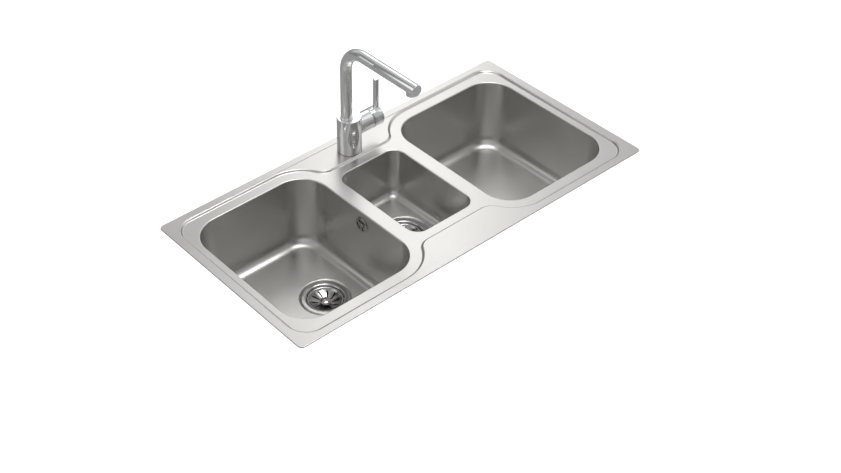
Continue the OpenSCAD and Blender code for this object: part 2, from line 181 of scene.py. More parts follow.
def rounded_loop(w, d, r, segs=24):
    """Anticlockwise points round a rounded rectangle, and the outward direction at each."""
    pts = []
    for sx, sy, start in ((1, 1, 0), (-1, 1, 90), (-1, -1, 180), (1, -1, 270)):
        cx, cy = sx * (w / 2 - r), sy * (d / 2 - r)
        for i in range(segs + 1):
            a = math.radians(start + 90 * i / segs)
            pts.append((cx, cy, math.cos(a), math.sin(a)))
    return pts


def sweep_round(parts, centre, w, d, r, profile, segs=24):
    """Sweeps a profile of (offset, height) round a rounded rectangle and returns the loops of indices."""
    loop = rounded_loop(w, d, r, segs)
    n = len(loop)
    base = len(parts.verts)
    verts = [
        (centre[0] + cx + (r + off) * c, centre[1] + cy + (r + off) * s, z)
        for off, z in profile
        for cx, cy, c, s in loop
    ]
    faces = []
    for i in range(len(profile) - 1):
        for k in range(n):
            m = (k + 1) % n
            faces.append((i * n + k, i * n + m, (i + 1) * n + m, (i + 1) * n + k))
    parts.add(verts, faces)
    return [list(range(base + i * n, base + (i + 1) * n)) for i in range(len(profile))]


# ---------- sizes shared with the CAD model, in millimetres ----------

DECK_W, DECK_D, DECK_R = 1000.0, 500.0, 12.0
PRESS = (477.0, 228.0, 47.0)
TOP, LEDGE_TOP, RECESS = 2.0, 1.0, -3.0
LEDGE_C, LEDGE_R = np.array((80.0, 196.5)), 35.0
SWEEP_C, SWEEP_R = np.array((197.4, 126.0)), 102.0
LEDGE_Y = 161.5
STEEL = 1.0  # thickness of the pressed sheet
RIM = 3.0  # radius of the turned-down rim round each bowl
WALL_TOP = -8.0  # where that rim ends and a bowl's wall starts
FLOOR_EDGE, FLOOR_FALL = 1.5, 2.0  # a bowl's floor is this high at its edge and falls by this much
DISH_R, DISH_DROP = 61.0, 3.5  # the pressed dish that carries a waste
FLANGE_R, CUP_R, CUP_DEPTH = 57.0, 41.8, 34.0
CUTOUT_W, CUTOUT_D, CUTOUT_R = 968.0, 468.0, 12.0
SIDES = ("left", "centre", "right")
BOWLS = {
    "left": dict(x=-293.0, w=331.0, d=396.0, r=70.0, floor=-188.0, cove=28.0, draft=4.0, drain=-238.0),
    "centre": dict(x=0.0, w=175.0, d=268.0, r=30.0, floor=-131.0, cove=22.0, draft=3.0, drain=0.0),
    "right": dict(x=293.0, w=331.0, d=396.0, r=70.0, floor=-188.0, cove=28.0, draft=4.0, drain=238.0),
}


# ---------- deck ----------


def smooth(t):
    t = np.clip(t, 0, 1)
    return t * t * (3 - 2 * t)


def inside_press(x, y):
    """Distance inside the middle of the pressed step."""
    hx, hy, r = PRESS
    qx, qy = np.abs(x) - (hx - r), np.abs(y) - (hy - r)
    out = np.hypot(np.maximum(qx, 0), np.maximum(qy, 0)) + np.minimum(np.maximum(qx, qy), 0)
    return r - out


def outside_ledge(x, y):
    """Distance from the middle of the ledges' slope, positive in the recess."""
    x, y = np.abs(x), np.abs(y)
    a = np.hypot(x - LEDGE_C[0], y - LEDGE_C[1]) - LEDGE_R
    b = SWEEP_R - np.hypot(x - SWEEP_C[0], y - SWEEP_C[1])
    line = SWEEP_C - LEDGE_C
    side = line[0] * (y - LEDGE_C[1]) - line[1] * (x - LEDGE_C[0])
    d = np.where(side < 0, a, b)
    d = np.where(x < LEDGE_C[0], LEDGE_Y - y, d)
    return np.where(x > SWEEP_C[0], PRESS[1] - y, d)


def deck_height(x, y):
    """A small step down from the flange, then the deep one from the ledges into the recess."""
    d = inside_press(x, y)
    m = np.minimum(d, outside_ledge(x, y))
    down_to_ledge = (TOP - LEDGE_TOP) * smooth((d + 4.1) / 1.1)
    return TOP - down_to_ledge - (LEDGE_TOP - RECESS) * smooth((m + 3.0) / 6.4)


def slopes_to_normals(fn, x, y, e=0.02):
    """Unit normals of the height function fn at x, y."""
    gx = (fn(x + e, y) - fn(x - e, y)) / (2 * e)
    gy = (fn(x, y + e) - fn(x, y - e)) / (2 * e)
    n = np.stack([-gx, -gy, np.ones_like(gx)], 1)
    return n / np.linalg.norm(n, axis=1)[:, None]


def press_line(offset, step=7.0):
    """Closed line at a distance inside the middle of the pressed step."""
    hx, hy, r = PRESS
    pts = []
    loop = rounded_loop(2 * hx, 2 * hy, r, 24)
    for i, (cx, cy, c, s) in enumerate(loop):
        p = np.array((cx + (r - offset) * c, cy + (r - offset) * s))
        nx = loop[(i + 1) % len(loop)]
        q = np.array((nx[0] + (r - offset) * nx[2], nx[1] + (r - offset) * nx[3]))
        k = max(1, int(np.linalg.norm(q - p) / step))
        pts += [p + (q - p) * j / k for j in range(k)]
    return pts


def ledge_line(offset):
    """Open line along the front of the ledge on the +Y side, moved into the recess by offset."""
    phi = math.acos(1 - (PRESS[1] - LEDGE_Y) / (LEDGE_R + SWEEP_R))
    half = [(x, LEDGE_Y - offset) for x in np.linspace(0, LEDGE_C[0], 12, endpoint=False)]
    for a in np.linspace(0, phi, 24, endpoint=False):
        r = LEDGE_R + offset
        half.append((LEDGE_C[0] + r * math.sin(a), LEDGE_C[1] - r * math.cos(a)))
    for a in np.linspace(phi, 0.02, 40):
        r = SWEEP_R - offset
        half.append((SWEEP_C[0] - r * math.sin(a), SWEEP_C[1] + r * math.cos(a)))
    return [(-x, y) for x, y in half[:0:-1]] + half


def fill(loops, lines, holes, outline):
    """Triangulates the flat region inside outline and outside holes, keeping every given line."""
    pts, edges = [], []

    def put(seq, closed):
        base = len(pts)
        pts.extend(Vector((float(p[0]), float(p[1]))) for p in seq)
        n = len(seq)
        edges.extend((base + i, base + (i + 1) % n) for i in range(n if closed else n - 1))

    for s in loops:
        put(s, True)
    for s in lines:
        put(s, False)
    vs, _, fs, _, _, _ = geometry.delaunay_2d_cdt(pts, edges, [], 0, 1e-4)
    v = np.array([(p.x, p.y) for p in vs])
    f = np.array([list(t) for t in fs])
    c = v[f].mean(1)
    keep = outline(c[:, 0], c[:, 1]) > 0
    for h in holes:
        keep &= h(c[:, 0], c[:, 1]) < 0
    f = f[keep]
    used = np.unique(f)
    remap = np.full(len(v), -1)
    remap[used] = np.arange(len(used))
    f = remap[f]
    v = v[used]
    a, b, c = v[f[:, 0]], v[f[:, 1]], v[f[:, 2]]
    area = (b[:, 0] - a[:, 0]) * (c[:, 1] - a[:, 1]) - (b[:, 1] - a[:, 1]) * (c[:, 0] - a[:, 0])
    f[area < 0] = f[area < 0][:, ::-1]
    return v, f[np.abs(area) > 1e-7]


def inside_rounded(centre, w, d, r):
    """The function that gives the distance inside a rounded rectangle."""

    def fn(x, y):
        qx, qy = np.abs(x - centre[0]) - (w / 2 - r), np.abs(y - centre[1]) - (d / 2 - r)
        return r - (np.hypot(np.maximum(qx, 0), np.maximum(qy, 0)) + np.minimum(np.maximum(qx, qy), 0))

    return fn


def loop_points(centre, w, d, r, off, segs=24):
    """Points round a rounded rectangle, off outside it."""
    loop = rounded_loop(w, d, r, segs)
    return [(centre[0] + cx + (r + off) * c, centre[1] + cy + (r + off) * s) for cx, cy, c, s in loop]


# Lines kept in the deck's mesh: across the small step beside the flange and across the deep step
FLANGE_LINES = (-4.4, -4.1, -3.83, -3.55, -3.28)
STEP_LINES = (-3.0, -2.4, -1.6, -0.7, 0.2, 1.1, 2.0, 2.8, 3.4, 3.8)
EDGE_R = 1.2


def build_deck():
    edge = loop_points((0, 0), DECK_W, DECK_D, DECK_R, -EDGE_R, 16)
    loops = [edge]
    holes = []
    for b in BOWLS.values():
        loops.append(loop_points((b["x"], 0), b["w"], b["d"], b["r"], RIM))
        holes.append(inside_rounded((b["x"], 0), b["w"] + 2 * RIM, b["d"] + 2 * RIM, b["r"] + RIM))
    loops += [press_line(o) for o in FLANGE_LINES + STEP_LINES]
    lines = []
    for o in (-3.4, *STEP_LINES):
        line = ledge_line(o)
        lines += [line, [(x, -y) for x, y in line]]
    outline = inside_rounded((0, 0), DECK_W - 2 * EDGE_R, DECK_D - 2 * EDGE_R, DECK_R - EDGE_R)
    v, f = fill(loops, lines, holes, outline)
    z = deck_height(v[:, 0], v[:, 1])
    n = slopes_to_normals(deck_height, v[:, 0], v[:, 1])
    parts = Parts()
    parts.add(np.column_stack([v, z]), f)
    normals = [tuple(k) for k in n]
    parts.add(np.column_stack([v, z - STEEL]), f[:, ::-1])
    normals += [tuple(-k) for k in n]

    def strip(centre, w, d, r, profile, dirs, segs):
        """A swept strip with the outward and upward parts of its normals."""
        loop = rounded_loop(w, d, r, segs)
        sweep_round(parts, centre, w, d, r, profile, segs)
        for a, b in dirs:
            for _, _, c, s in loop:
                normals.append((a * c, a * s, b))

    quarter = [math.radians(90 * i / 8) for i in range(9)]
    outer = [(-EDGE_R + EDGE_R * math.sin(a), TOP - EDGE_R + EDGE_R * math.cos(a)) for a in quarter]
    outer.append((0, 0))
    dirs = [(math.sin(a), math.cos(a)) for a in quarter] + [(1, 0)]
    whole = ((0, 0), DECK_W, DECK_D, DECK_R)
    strip(*whole, outer[::-1], dirs[::-1], 16)
    strip(*whole, [(-1.5, 0), (0, 0)], [(0, -1), (0, -1)], 16)
    strip(*whole, [(-EDGE_R, TOP - STEEL), (-1.5, 0)], [(-1, 0), (-1, 0)], 16)
    for b in BOWLS.values():
        mouth = ((b["x"], 0), b["w"], b["d"], b["r"])
        rim = [(RIM - RIM * math.sin(a), RECESS - RIM + RIM * math.cos(a)) for a in quarter]
        dirs = [(-math.sin(a), math.cos(a)) for a in quarter] + [(-1, 0)]
        strip(*mouth, rim + [(0, WALL_TOP)], dirs, 24)
        under = RIM - STEEL
        back = [(RIM - under * math.sin(a), RECESS - RIM + under * math.cos(a)) for a in quarter]
        back.append((STEEL, WALL_TOP))
        dirs = [(math.sin(a), -math.cos(a)) for a in quarter] + [(1, 0)]
        strip(*mouth, back[::-1], dirs[::-1], 24)
    make_piece(
        "deck_pressing", parts.verts, parts.faces, "sink", ["sink_deck"], "satin_steel", normals=normals
    )


# ---------- bowls ----------


def bowl_floor_height(b):
    """The floor falls a little towards its middle, with a soft crease from each corner."""
    a = b["w"] / 2 - b["draft"] - b["cove"]
    c = b["d"] / 2 - b["draft"] - b["cove"]
    soft = 26.0 if b["x"] else 10.0

    def fn(x, y):
        u, v = 1 - np.abs(x - b["x"]) / a, 1 - np.abs(y) / c
        u, v = np.clip(u, 0, 1), np.clip(v, 0, 1)
        m = -np.log(np.exp(-soft * u) + np.exp(-soft * v)) / soft
        m = np.clip(m, 0, 1)
        return b["floor"] + FLOOR_EDGE - FLOOR_FALL * smooth(m / 0.9)

    return fn


# The dish round a waste: radius, drop below the floor (None where it meets the floor) and tilt
DISH = (
    (DISH_R, None, 0), (60, -0.12, 0.22), (59.0, -0.6, 0.6), (58.2, -1.3, 0.75), (57.4, -2.2, 0.75),
    (56.6, -2.9, 0.5), (55.6, -3.4, 0.2), (54, -DISH_DROP, 0), (44, -DISH_DROP, 0),
)


def build_bowl(name):
    b = BOWLS[name]
    parts = Parts()
    normals = []
    inset = b["draft"] + b["cove"]
    low = b["floor"] + FLOOR_EDGE + b["cove"]
    steps = 20
    lean = math.atan2(b["draft"], WALL_TOP - low)

    def section(t):
        """Wall and cove, with t = 0 on the inside and t = 1 on the outside."""
        pts = [(t, WALL_TOP), (t - b["draft"] * 0.5, (low + WALL_TOP) / 2), (t - b["draft"], low)]
        dirs = [(-math.cos(lean), math.sin(lean))] * 2 + [(-1, 0)]
        for i in range(1, steps + 1):
            a = math.radians(90 * i / steps)
            r = b["cove"] + t
            pts.append((-inset + r * math.cos(a), low - r * math.sin(a)))
            dirs.append((-math.cos(a), math.sin(a)))
        return pts, dirs

    for t, sign in ((0.0, 1), (STEEL, -1)):
        pts, dirs = section(t)
        if sign < 0:
            pts, dirs = pts[::-1], dirs[::-1]
        sweep_round(parts, (b["x"], 0), b["w"], b["d"], b["r"], pts, 24)
        for p, q in dirs:
            for _, _, c, s in rounded_loop(b["w"], b["d"], b["r"], 24):
                normals.append((sign * p * c, sign * p * s, sign * q))
    height = bowl_floor_height(b)
    edge = loop_points((b["x"], 0), b["w"], b["d"], b["r"], -inset)
    sides = 96
    angles = [TURN * k / sides for k in range(sides)]
    ring = [(b["drain"] + DISH_R * math.cos(a), DISH_R * math.sin(a)) for a in angles]
    w, d = b["w"] - 2 * inset, b["d"] - 2 * inset
    lines = []
    for k in range(1, 14):
        x = b["x"] - w / 2 + w * k / 14
        lines.append([(x, -d / 2 + 2 + (d - 4) * j / 20) for j in range(21)])
    keep = inside_rounded((b["x"], 0), w, d, b["r"] - inset)

    def in_ring(x, y):
        return DISH_R - np.hypot(x - b["drain"], y)

    lines = [[p for p in line if keep(p[0], p[1]) > 2 and in_ring(p[0], p[1]) < -3] for line in lines]
    points = [[p] for line in lines for p in line]
    v, f = fill([edge, ring], points, [in_ring], keep)
    parts.add(np.column_stack([v, height(v[:, 0], v[:, 1])]), f)
    normals += [tuple(k) for k in slopes_to_normals(height, v[:, 0], v[:, 1], 0.5)]
    parts.add(np.column_stack([v, np.full(len(v), b["floor"] - STEEL)]), f[:, ::-1])
    normals += [(0.0, 0.0, -1.0)] * len(v)
    ring_z = height(np.array([p[0] for p in ring]), np.array([p[1] for p in ring]))
    verts = []
    for r, z, tilt in DISH:
        for k, a in enumerate(angles):
            if z is None:
                level = ring_z[k]
            else:
                level = max(b["floor"] + z - 0.9 * max(0, 1 + z / DISH_DROP), b["floor"] - DISH_DROP)
            verts.append((b["drain"] + r * math.cos(a), r * math.sin(a), level))
            normals.append((-tilt * math.cos(a), -tilt * math.sin(a), math.sqrt(1 - tilt * tilt)))
    faces = []
    for i in range(len(DISH) - 1):
        for k in range(sides):
            m = (k + 1) % sides
            near, far = i * sides, (i + 1) * sides
            faces.append((far + m, far + k, near + k, near + m))
    parts.add(verts, faces)
    parts.add([(x, y, z - STEEL) for x, y, z in verts], [f[::-1] for f in faces])
    normals += [(-a, -c, -d) for a, c, d in normals[-len(verts):]]
    make_piece(
        f"bowl_{name}_pressing", parts.verts, parts.faces, "sink", [f"bowl_{name}"], "satin_steel",
        normals=normals,
    )


# ---------- wastes ----------


def fillet_profile(points, r=0.5, n=3):
    """Rounds every inner corner of a profile."""
    out = [points[0]]
    for p, q, s in zip(points, points[1:], points[2:]):
        p, q, s = Vector(p), Vector(q), Vector(s)
        a, b = (p - q), (s - q)
        k = min(r, a.length * 0.45, b.length * 0.45)
        a, b = q + a.normalized() * k, q + b.normalized() * k
        for i in range(n + 1):
            t = i / n
            out.append(tuple((1 - t) ** 2 * a + 2 * t * (1 - t) * q + t * t * b))
    out.append(points[-1])
    return out


def strainer_plate(basket, at):
    """Adds the basket's dished plate, with ten slightly swept slots, and the slots' walls."""
    radii = [12.2, 13.4, 14.3, 15.4, 17, 19.5, 22.5, 25.5, 28.5, 31, 32.6, 33.6, 34.4]
    first, last = 2, 10
    slots, cols = 10, 6
    half = {
        14.3: 0.25, 15.4: 1.15, 17: 1.5, 19.5: 1.7, 22.5: 1.85, 25.5: 2.0, 28.5: 2.0, 31: 1.75,
        32.6: 1.25, 33.6: 0.3,
    }
    pitch = TURN / slots
    n = slots * cols
    for side in (0, 1):
        verts, faces = [], []
        for r in radii:
            dish = -13 + 8.2 * ((r - 12) / 22.4) ** 1.5
            w = math.asin(min(0.9, half.get(r, 0.3) / r))
            sweep = 0.16 * ((r - 12) / 22) ** 1.5
            for k in range(slots):
                for c in range(cols):
                    a = -w + 2 * w * c / 2 if c < 3 else w + (pitch - 2 * w) * (c - 2) / (cols - 2)
                    a += k * pitch + sweep
                    verts.append((r * math.cos(a), r * math.sin(a), dish - 1.1 * side))
        for i in range(len(radii) - 1):
            for k in range(n):
                if k % cols < 2 and first <= i <= last:
                    continue
                m = (k + 1) % n
                q = (i * n + k, i * n + m, (i + 1) * n + m, (i + 1) * n + k)
                faces.append(q if side == 0 else q[::-1])
        base = len(basket.verts)
        basket.add([tuple(at @ Vector(v)) for v in verts], faces)
    top = base - len(verts)
    for i in range(first, last + 1):
        for k in range(slots):
            for c, flip in ((0, False), (2, True)):
                j = k * cols + c
                q = (top + i * n + j, top + (i + 1) * n + j, base + (i + 1) * n + j, base + i * n + j)
                basket.faces.append(q if flip else q[::-1])
    for i in (first, last + 1):
        for k in range(slots):
            for c in (0, 1):
                j = i * n + k * cols + c
                basket.faces.append((top + j, top + j + 1, base + j + 1, base + j))


def build_waste(name):
    b = BOWLS[name]
    at = place(b["drain"], 0, b["floor"] - DISH_DROP)
    flange = Parts()
    profile = [
        (FLANGE_R, 0), (FLANGE_R, 1.0), (55.4, 2.5), (52, 2.6), (46.5, 2.5), (44.2, 1.9), (42.2, 0.2),
        (41.9, -1.5), (CUP_R, -CUP_DEPTH),
    ]
    flange.revolve(fillet_profile(profile, 0.8, 4), at)
    flange.revolve([(CUP_R, -CUP_DEPTH), (0, -CUP_DEPTH)], at)
    under = -CUP_DEPTH - 1.2
    flange.revolve([(0, under), (43, under), (43, 0), (FLANGE_R, 0)], at)
    make_piece(
        f"waste_flange_{name}_spun", flange.verts, flange.faces, "sink", [f"waste_flange_{name}"],
        "polished_steel", sharp=40,
    )
    basket = Parts()
    strainer_plate(basket, at)
    rim = [
        (34.4, -4.8), (36.4, -3.3), (38.3, -2.0), (40.2, -1.6), (41.3, -2.1), (41.3, -3.0), (39.5, -3.8),
        (39.5, -20), (38.3, -20), (38.3, -5.2), (34.4, -5.9),
    ]
    basket.revolve(fillet_profile(rim, 0.6, 3), at)
    basket.revolve([(12.2, -13.0), (0, -13.2)], at)
    basket.revolve([(12.2, -14.1), (4, -14.4), (4, -31.4), (0, -31.4)], at)
    make_piece(
        f"strainer_basket_{name}_formed", basket.verts, basket.faces, f"basket_{name}",
        [f"strainer_basket_{name}"], "polished_steel", sharp=32,
    )
    knob = Parts()
    arc = [math.radians(a) for a in range(8, 90, 7)]
    dome = [(0, -4.0)] + [(12 * math.sin(a), -8.2 + 4.2 * math.cos(a)) for a in arc]
    dome += [(12, -8.4), (11.7, -9.4), (9.6, -10.4), (8.4, -11.2), (8.4, -13.0)]
    knob.revolve(dome, at, 72)
    make_piece(
        f"strainer_knob_{name}_domed", knob.verts, knob.faces, f"basket_{name}",
        [f"strainer_knob_{name}"], "polished_steel", sharp=40,
    )


def build_overflow():
    """A rosette with three webs, and the screw in its middle."""
    lo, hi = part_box("overflow_cover")
    x0, x1 = lo[0] / MM, hi[0] / MM
    y0, z0 = (lo[1] + hi[1]) / 2 / MM, (lo[2] + hi[2]) / 2 / MM
    face = Matrix(((0, 0, -1, x1), (1, 0, 0, y0), (0, -1, 0, z0), (0, 0, 0, 1)))
    parts = Parts()
    radii = [5.2, 6.0, 6.6, 8.0, 10.0, 12.0, 13.6, 14.6, 15.4]
    n_open = 10
    for side in (0, 1):
        verts, faces = [], []
        for r in radii:
            web = min(2.3 if 6.2 < r < 15 else 2.6, r * 0.6)
            w = math.asin(web / r)
            for k in range(3):
                base = math.radians(90 + 120 * k)
                gap = TURN / 3 - 2 * w
                cols = [base - w, base, base + w] + [base + w + gap * j / n_open for j in range(1, n_open)]
                level = (1.9 - 0.55 * (r / 15) ** 2) - 0.9 * side
                verts += [(r * math.cos(a), r * math.sin(a), level) for a in cols]
        n = 3 * (n_open + 2)
        for i in range(len(radii) - 1):
            for k in range(n):
                col = k % (n_open + 2)
                if col >= 2 and 1 <= i < len(radii) - 2:
                    continue
                m = (k + 1) % n
                q = (i * n + k, i * n + m, (i + 1) * n + m, (i + 1) * n + k)
                faces.append(q if side == 0 else q[::-1])
        parts.add([tuple(face @ Vector(v)) for v in verts], faces)
    rim = [(15.4, 1.35), (16.6, 1.5), (18.0, 1.2), (19.0, 0.5), (19.0, 0.0), (15.4, 0.0), (15.4, 0.5)]
    parts.revolve(fillet_profile(rim, 0.4, 3), face, 72)
    make_piece(
        "overflow_rosette", parts.verts, parts.faces, "sink", ["overflow_cover"], "polished_steel",
        sharp=35,
    )
    screw = Parts()
    screw.revolve([(0, 3.1), (2.6, 2.9), (3.7, 2.3), (4.0, 1.6), (4.6, 1.5), (5.2, 1.45)], face, 48)
    screw.revolve([(2.0, 1.4), (2.0, -18)], face, 24)
    make_piece(
        "overflow_screw_head", screw.verts, screw.faces, "sink", ["overflow_screw"], "polished_steel",
        sharp=40,
    )


# ---------- tap ----------

TAP_Y = 194.0
RISER = (-8.0, 193.0)
HANDLE_Z = 59.8
SPOUT_Z, BEND, TUBE_R = 287.0, 62.0, 13.5
SEAM_Y, END_Y = 86.0, -40.0
COLLAR_TOP = 97.5


def spout_path(to_y, from_z, bend_steps=40):
    """Points up the riser from from_z, round the bend and forwards to to_y."""
    path = [(RISER[0], RISER[1], z) for z in np.linspace(from_z, SPOUT_Z - BEND, 12, endpoint=False)]
    for i in range(bend_steps + 1):
        a = math.radians(90 * i / bend_steps)
        path.append((RISER[0], RISER[1] - BEND + BEND * math.cos(a), SPOUT_Z - BEND + BEND * math.sin(a)))
    start = RISER[1] - BEND
    path += [(RISER[0], y, SPOUT_Z) for y in np.linspace(start, to_y, 12)[1:]]
    return path


def build_tap():
    """The body with its side branch, the collar, the bent spout, and the spray head's three pieces."""
    body = Parts()
    profile = [(28.6, 1.6), (29, 2.0), (29, 93.9), (28.4, 94.5), (0, 94.5)]
    body.revolve(fillet_profile(profile, 0.35, 3), place(0, TAP_Y, 0), 160)
    branch = [(23.6, 0), (23.6, 57.6), (23.2, 58), (20.4, 58), (20, 57.6), (20, 24), (0, 24)]
    body.revolve(fillet_profile(branch, 0.3, 3), place(0, TAP_Y, HANDLE_Z, ALONG_X), 144)
    make_piece("tap_body_turned", body.verts, body.faces, "sink", ["tap_body"], "chrome", sharp=40)
    collar = Parts()
    profile = [(13, 94.8), (14.9, 94.8), (15, 97.2), (14.4, COLLAR_TOP), (12.6, COLLAR_TOP)]
    collar.revolve(fillet_profile(profile, 0.4, 3), place(*RISER, 0), 120)
    make_piece(
        "spout_collar_turned", collar.verts, collar.faces, "spout", ["spout_collar"], "chrome", sharp=50
    )
    tube = Parts()
    tube.tube(spout_path(SEAM_Y + 1.2, COLLAR_TOP), TUBE_R, 120, caps=False)
    end = place(RISER[0], 0, SPOUT_Z, ALONG_MINUS_Y)
    mouth = -SEAM_Y - 0.6
    profile = [(TUBE_R, -SEAM_Y - 1.2), (TUBE_R, mouth), (12.2, mouth), (12.0, -SEAM_Y - 20)]
    tube.revolve(fillet_profile(profile, 0.3, 3), end, 120)
    tube.revolve([(12.5, 50), (12.5, 97.6), (TUBE_R, COLLAR_TOP)], place(*RISER, 0), 96)
    make_piece("spout_tube_bent", tube.verts, tube.faces, "spout", ["spout_tube"], "chrome", sharp=40)
    head = Parts()
    profile = [(11.8, mouth), (11.8, -SEAM_Y), (TUBE_R, -SEAM_Y), (TUBE_R, -END_Y), (0, -END_Y)]
    head.revolve(fillet_profile(profile, 0.5, 4), end, 120)
    make_piece("spray_head_shell", head.verts, head.faces, "spray", ["spray_head"], "chrome", sharp=50)
    lo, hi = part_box("spray_nozzle")
    cx, cy, bottom = (lo[0] + hi[0]) / 2 / MM, (lo[1] + hi[1]) / 2 / MM, lo[2] / MM
    nozzle = Parts()
    profile = [
        (11.5, bottom + 10), (11.5, bottom + 0.6), (10.9, bottom), (9.9, bottom), (9.5, bottom + 0.4),
        (9.5, bottom + 9),
    ]
    nozzle.revolve(fillet_profile(profile, 0.3, 3), place(cx, cy, 0), 96)
    make_piece("spray_nozzle_ring", nozzle.verts, nozzle.faces, "spray", ["spray_nozzle"], "chrome", sharp=50)
    aerator = Parts()
    profile = [
        (9.4, bottom + 8), (9.4, bottom + 1.2), (8.8, bottom + 1.0), (8.2, bottom + 1.6),
        (0, bottom + 1.6),
    ]
    aerator.revolve(profile, place(cx, cy, 0), 72)
    nub = [(0.75, bottom + 1.7), (0.45, bottom + 1.05), (0, bottom + 1.0)]
    for ring_r, count in ((0, 1), (2.6, 6), (5.2, 12), (7.2, 18)):
        for k in range(count):
            a = TURN * k / count
            aerator.revolve(nub, place(cx + ring_r * math.cos(a), cy + ring_r * math.sin(a), 0), 12)
    make_piece("aerator_face", aerator.verts, aerator.faces, "spray", ["aerator"], "black_rubber", sharp=35)


def build_handle():
    """The cap, whose inner end slants away from the branch, and the square lever."""
    segs = 144
    cap = Parts()
    near, slant, r = 58.8, math.tan(math.radians(5.5)), 23.6
    hollow, end, edge = 68.0, 87.5, 1.3
    rings = []

    def ring(radius, x, slanted=False):
        rings.append(len(cap.verts))
        for k in range(segs):
            a = TURN * k / segs
            y, z = radius * math.cos(a), radius * math.sin(a)
            at = near + (r - z) * slant + x if slanted else x
            cap.verts.append((at, TAP_Y + y, HANDLE_Z + z))

    ring(20, hollow)
    for radius, x in ((20, 0.4), (20.4, 0.0), (23.2, 0.0), (23.5, 0.12), (r, 0.4)):
        ring(radius, x, slanted=True)
    for a in range(0, 91, 15):
        t = math.radians(a)
        ring(r - edge + edge * math.cos(t), end - edge + edge * math.sin(t))
    cap.verts.append((end, TAP_Y, HANDLE_Z))
    tip = len(cap.verts) - 1
    for a, b in zip(rings, rings[1:]):
        for k in range(segs):
            m = (k + 1) % segs
            cap.faces.append((a + k, b + k, b + m, a + m))
    for k in range(segs):
        cap.faces.append((rings[-1] + k, tip, rings[-1] + (k + 1) % segs))
    cap.verts.append((hollow, TAP_Y, HANDLE_Z))
    back = len(cap.verts) - 1
    for k in range(segs):
        cap.faces.append((rings[0] + (k + 1) % segs, back, rings[0] + k))
    cap.faces = [f[::-1] for f in cap.faces]
    make_piece("handle_cap_turned", cap.verts, cap.faces, "lever", ["handle_cap"], "chrome", sharp=40)
    lo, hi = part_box("lever_rod")
    bar = Parts()
    cx, w = (lo[0] + hi[0]) / 2 / MM, (hi[0] - lo[0]) / MM
    z0, z1 = lo[2] / MM, hi[2] / MM
    profile = [(0, z0), (0, z1 - 0.8), (-0.1, z1 - 0.35), (-0.35, z1 - 0.1), (-0.8, z1)]
    loops = sweep_round(bar, (cx, TAP_Y), w, w, 0.9, profile, 4)
    bar.faces.append(tuple(loops[-1]))
    make_piece("lever_bar", bar.verts, bar.faces, "lever", ["lever_rod"], "chrome", sharp=60)


def build_hose():
    """The braided hose up the riser and round the bend, with many points along its straight run."""
    hose = Parts()
    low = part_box("spray_hose")[0][2] / MM
    path = [(RISER[0], RISER[1], z) for z in np.linspace(low, SPOUT_Z - BEND, 40, endpoint=False)]
    path += spout_path(SEAM_Y - 9, SPOUT_Z - BEND - 0.1)[12:]
    straight = [(RISER[0], y, SPOUT_Z) for y in np.linspace(RISER[1] - BEND, SEAM_Y - 9, 160)]
    path = [p for p in path if p[1] > RISER[1] - BEND + 0.01] + straight
    hose.tube(path, 5.0, 32)
    obj = make_piece("spray_hose_braided", hose.verts, hose.faces, None, None, "grey_plastic", sharp=60)
    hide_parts("spray_hose")
    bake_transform(obj)
    return obj


# ---------- materials ----------


def material(name, slot, color, rough, metallic=1.0):
    """A new material, its node tree and its shader."""
    m = bpy.data.materials.new(name)
    m.use_nodes = True
    bsdf = m.node_tree.nodes["Principled BSDF"]
    bsdf.inputs["Base Color"].default_value = (*color, 1)
    bsdf.inputs["Metallic"].default_value = metallic
    bsdf.inputs["Roughness"].default_value = rough
    m["slot"] = slot
    return m, m.node_tree, bsdf


def add(tree, kind, **values):
    """A new node, with values for its inputs or properties."""
    node = tree.nodes.new(kind)
    for k, v in values.items():
        if k in node.inputs:
            node.inputs[k].default_value = v
        else:
            setattr(node, k, v)
    return node


def coords(tree, scale=(1, 1, 1)):
    tc = add(tree, "ShaderNodeTexCoord")
    mp = add(tree, "ShaderNodeMapping")
    mp.inputs["Scale"].default_value = scale
    tree.links.new(tc.outputs["Object"], mp.inputs["Vector"])
    return mp.outputs["Vector"]


def noise(tree, vector, scale, detail=4, rough=0.5):
    n = add(tree, "ShaderNodeTexNoise")
    n.inputs["Scale"].default_value = scale
    n.inputs["Detail"].default_value = detail
    n.inputs["Roughness"].default_value = rough
    tree.links.new(vector, n.inputs["Vector"])
    return n.outputs["Fac"]


def remap(tree, value, lo, hi, a=0.3, b=0.7):
    """Maps a to b onto lo to hi."""
    n = add(tree, "ShaderNodeMapRange")
    n.inputs["From Min"].default_value = a
    n.inputs["From Max"].default_value = b
    n.inputs["To Min"].default_value = lo
    n.inputs["To Max"].default_value = hi
    tree.links.new(value, n.inputs["Value"])
    return n.outputs["Result"]


def ramp(tree, value, dark, light):
    """Blends two colours over the middle of the value's range."""
    n = add(tree, "ShaderNodeValToRGB")
    n.color_ramp.elements[0].color = (*dark, 1)
    n.color_ramp.elements[1].color = (*light, 1)
    n.color_ramp.elements[0].position = 0.3
    n.color_ramp.elements[1].position = 0.7
    tree.links.new(value, n.inputs["Fac"])
    return n.outputs["Color"]


def bump(tree, bsdf, height, strength, distance):
    n = add(tree, "ShaderNodeBump")
    n.inputs["Strength"].default_value = strength
    n.inputs["Distance"].default_value = distance
    tree.links.new(height, n.inputs["Height"])
    tree.links.new(n.outputs["Normal"], bsdf.inputs["Normal"])


def calc(tree, op, *values):
    """One Math node on numbers or sockets."""
    n = add(tree, "ShaderNodeMath", operation=op)
    for i, v in enumerate(values):
        if isinstance(v, (int, float)):
            n.inputs[i].default_value = v
        else:
            tree.links.new(v, n.inputs[i])
    return n.outputs[0]


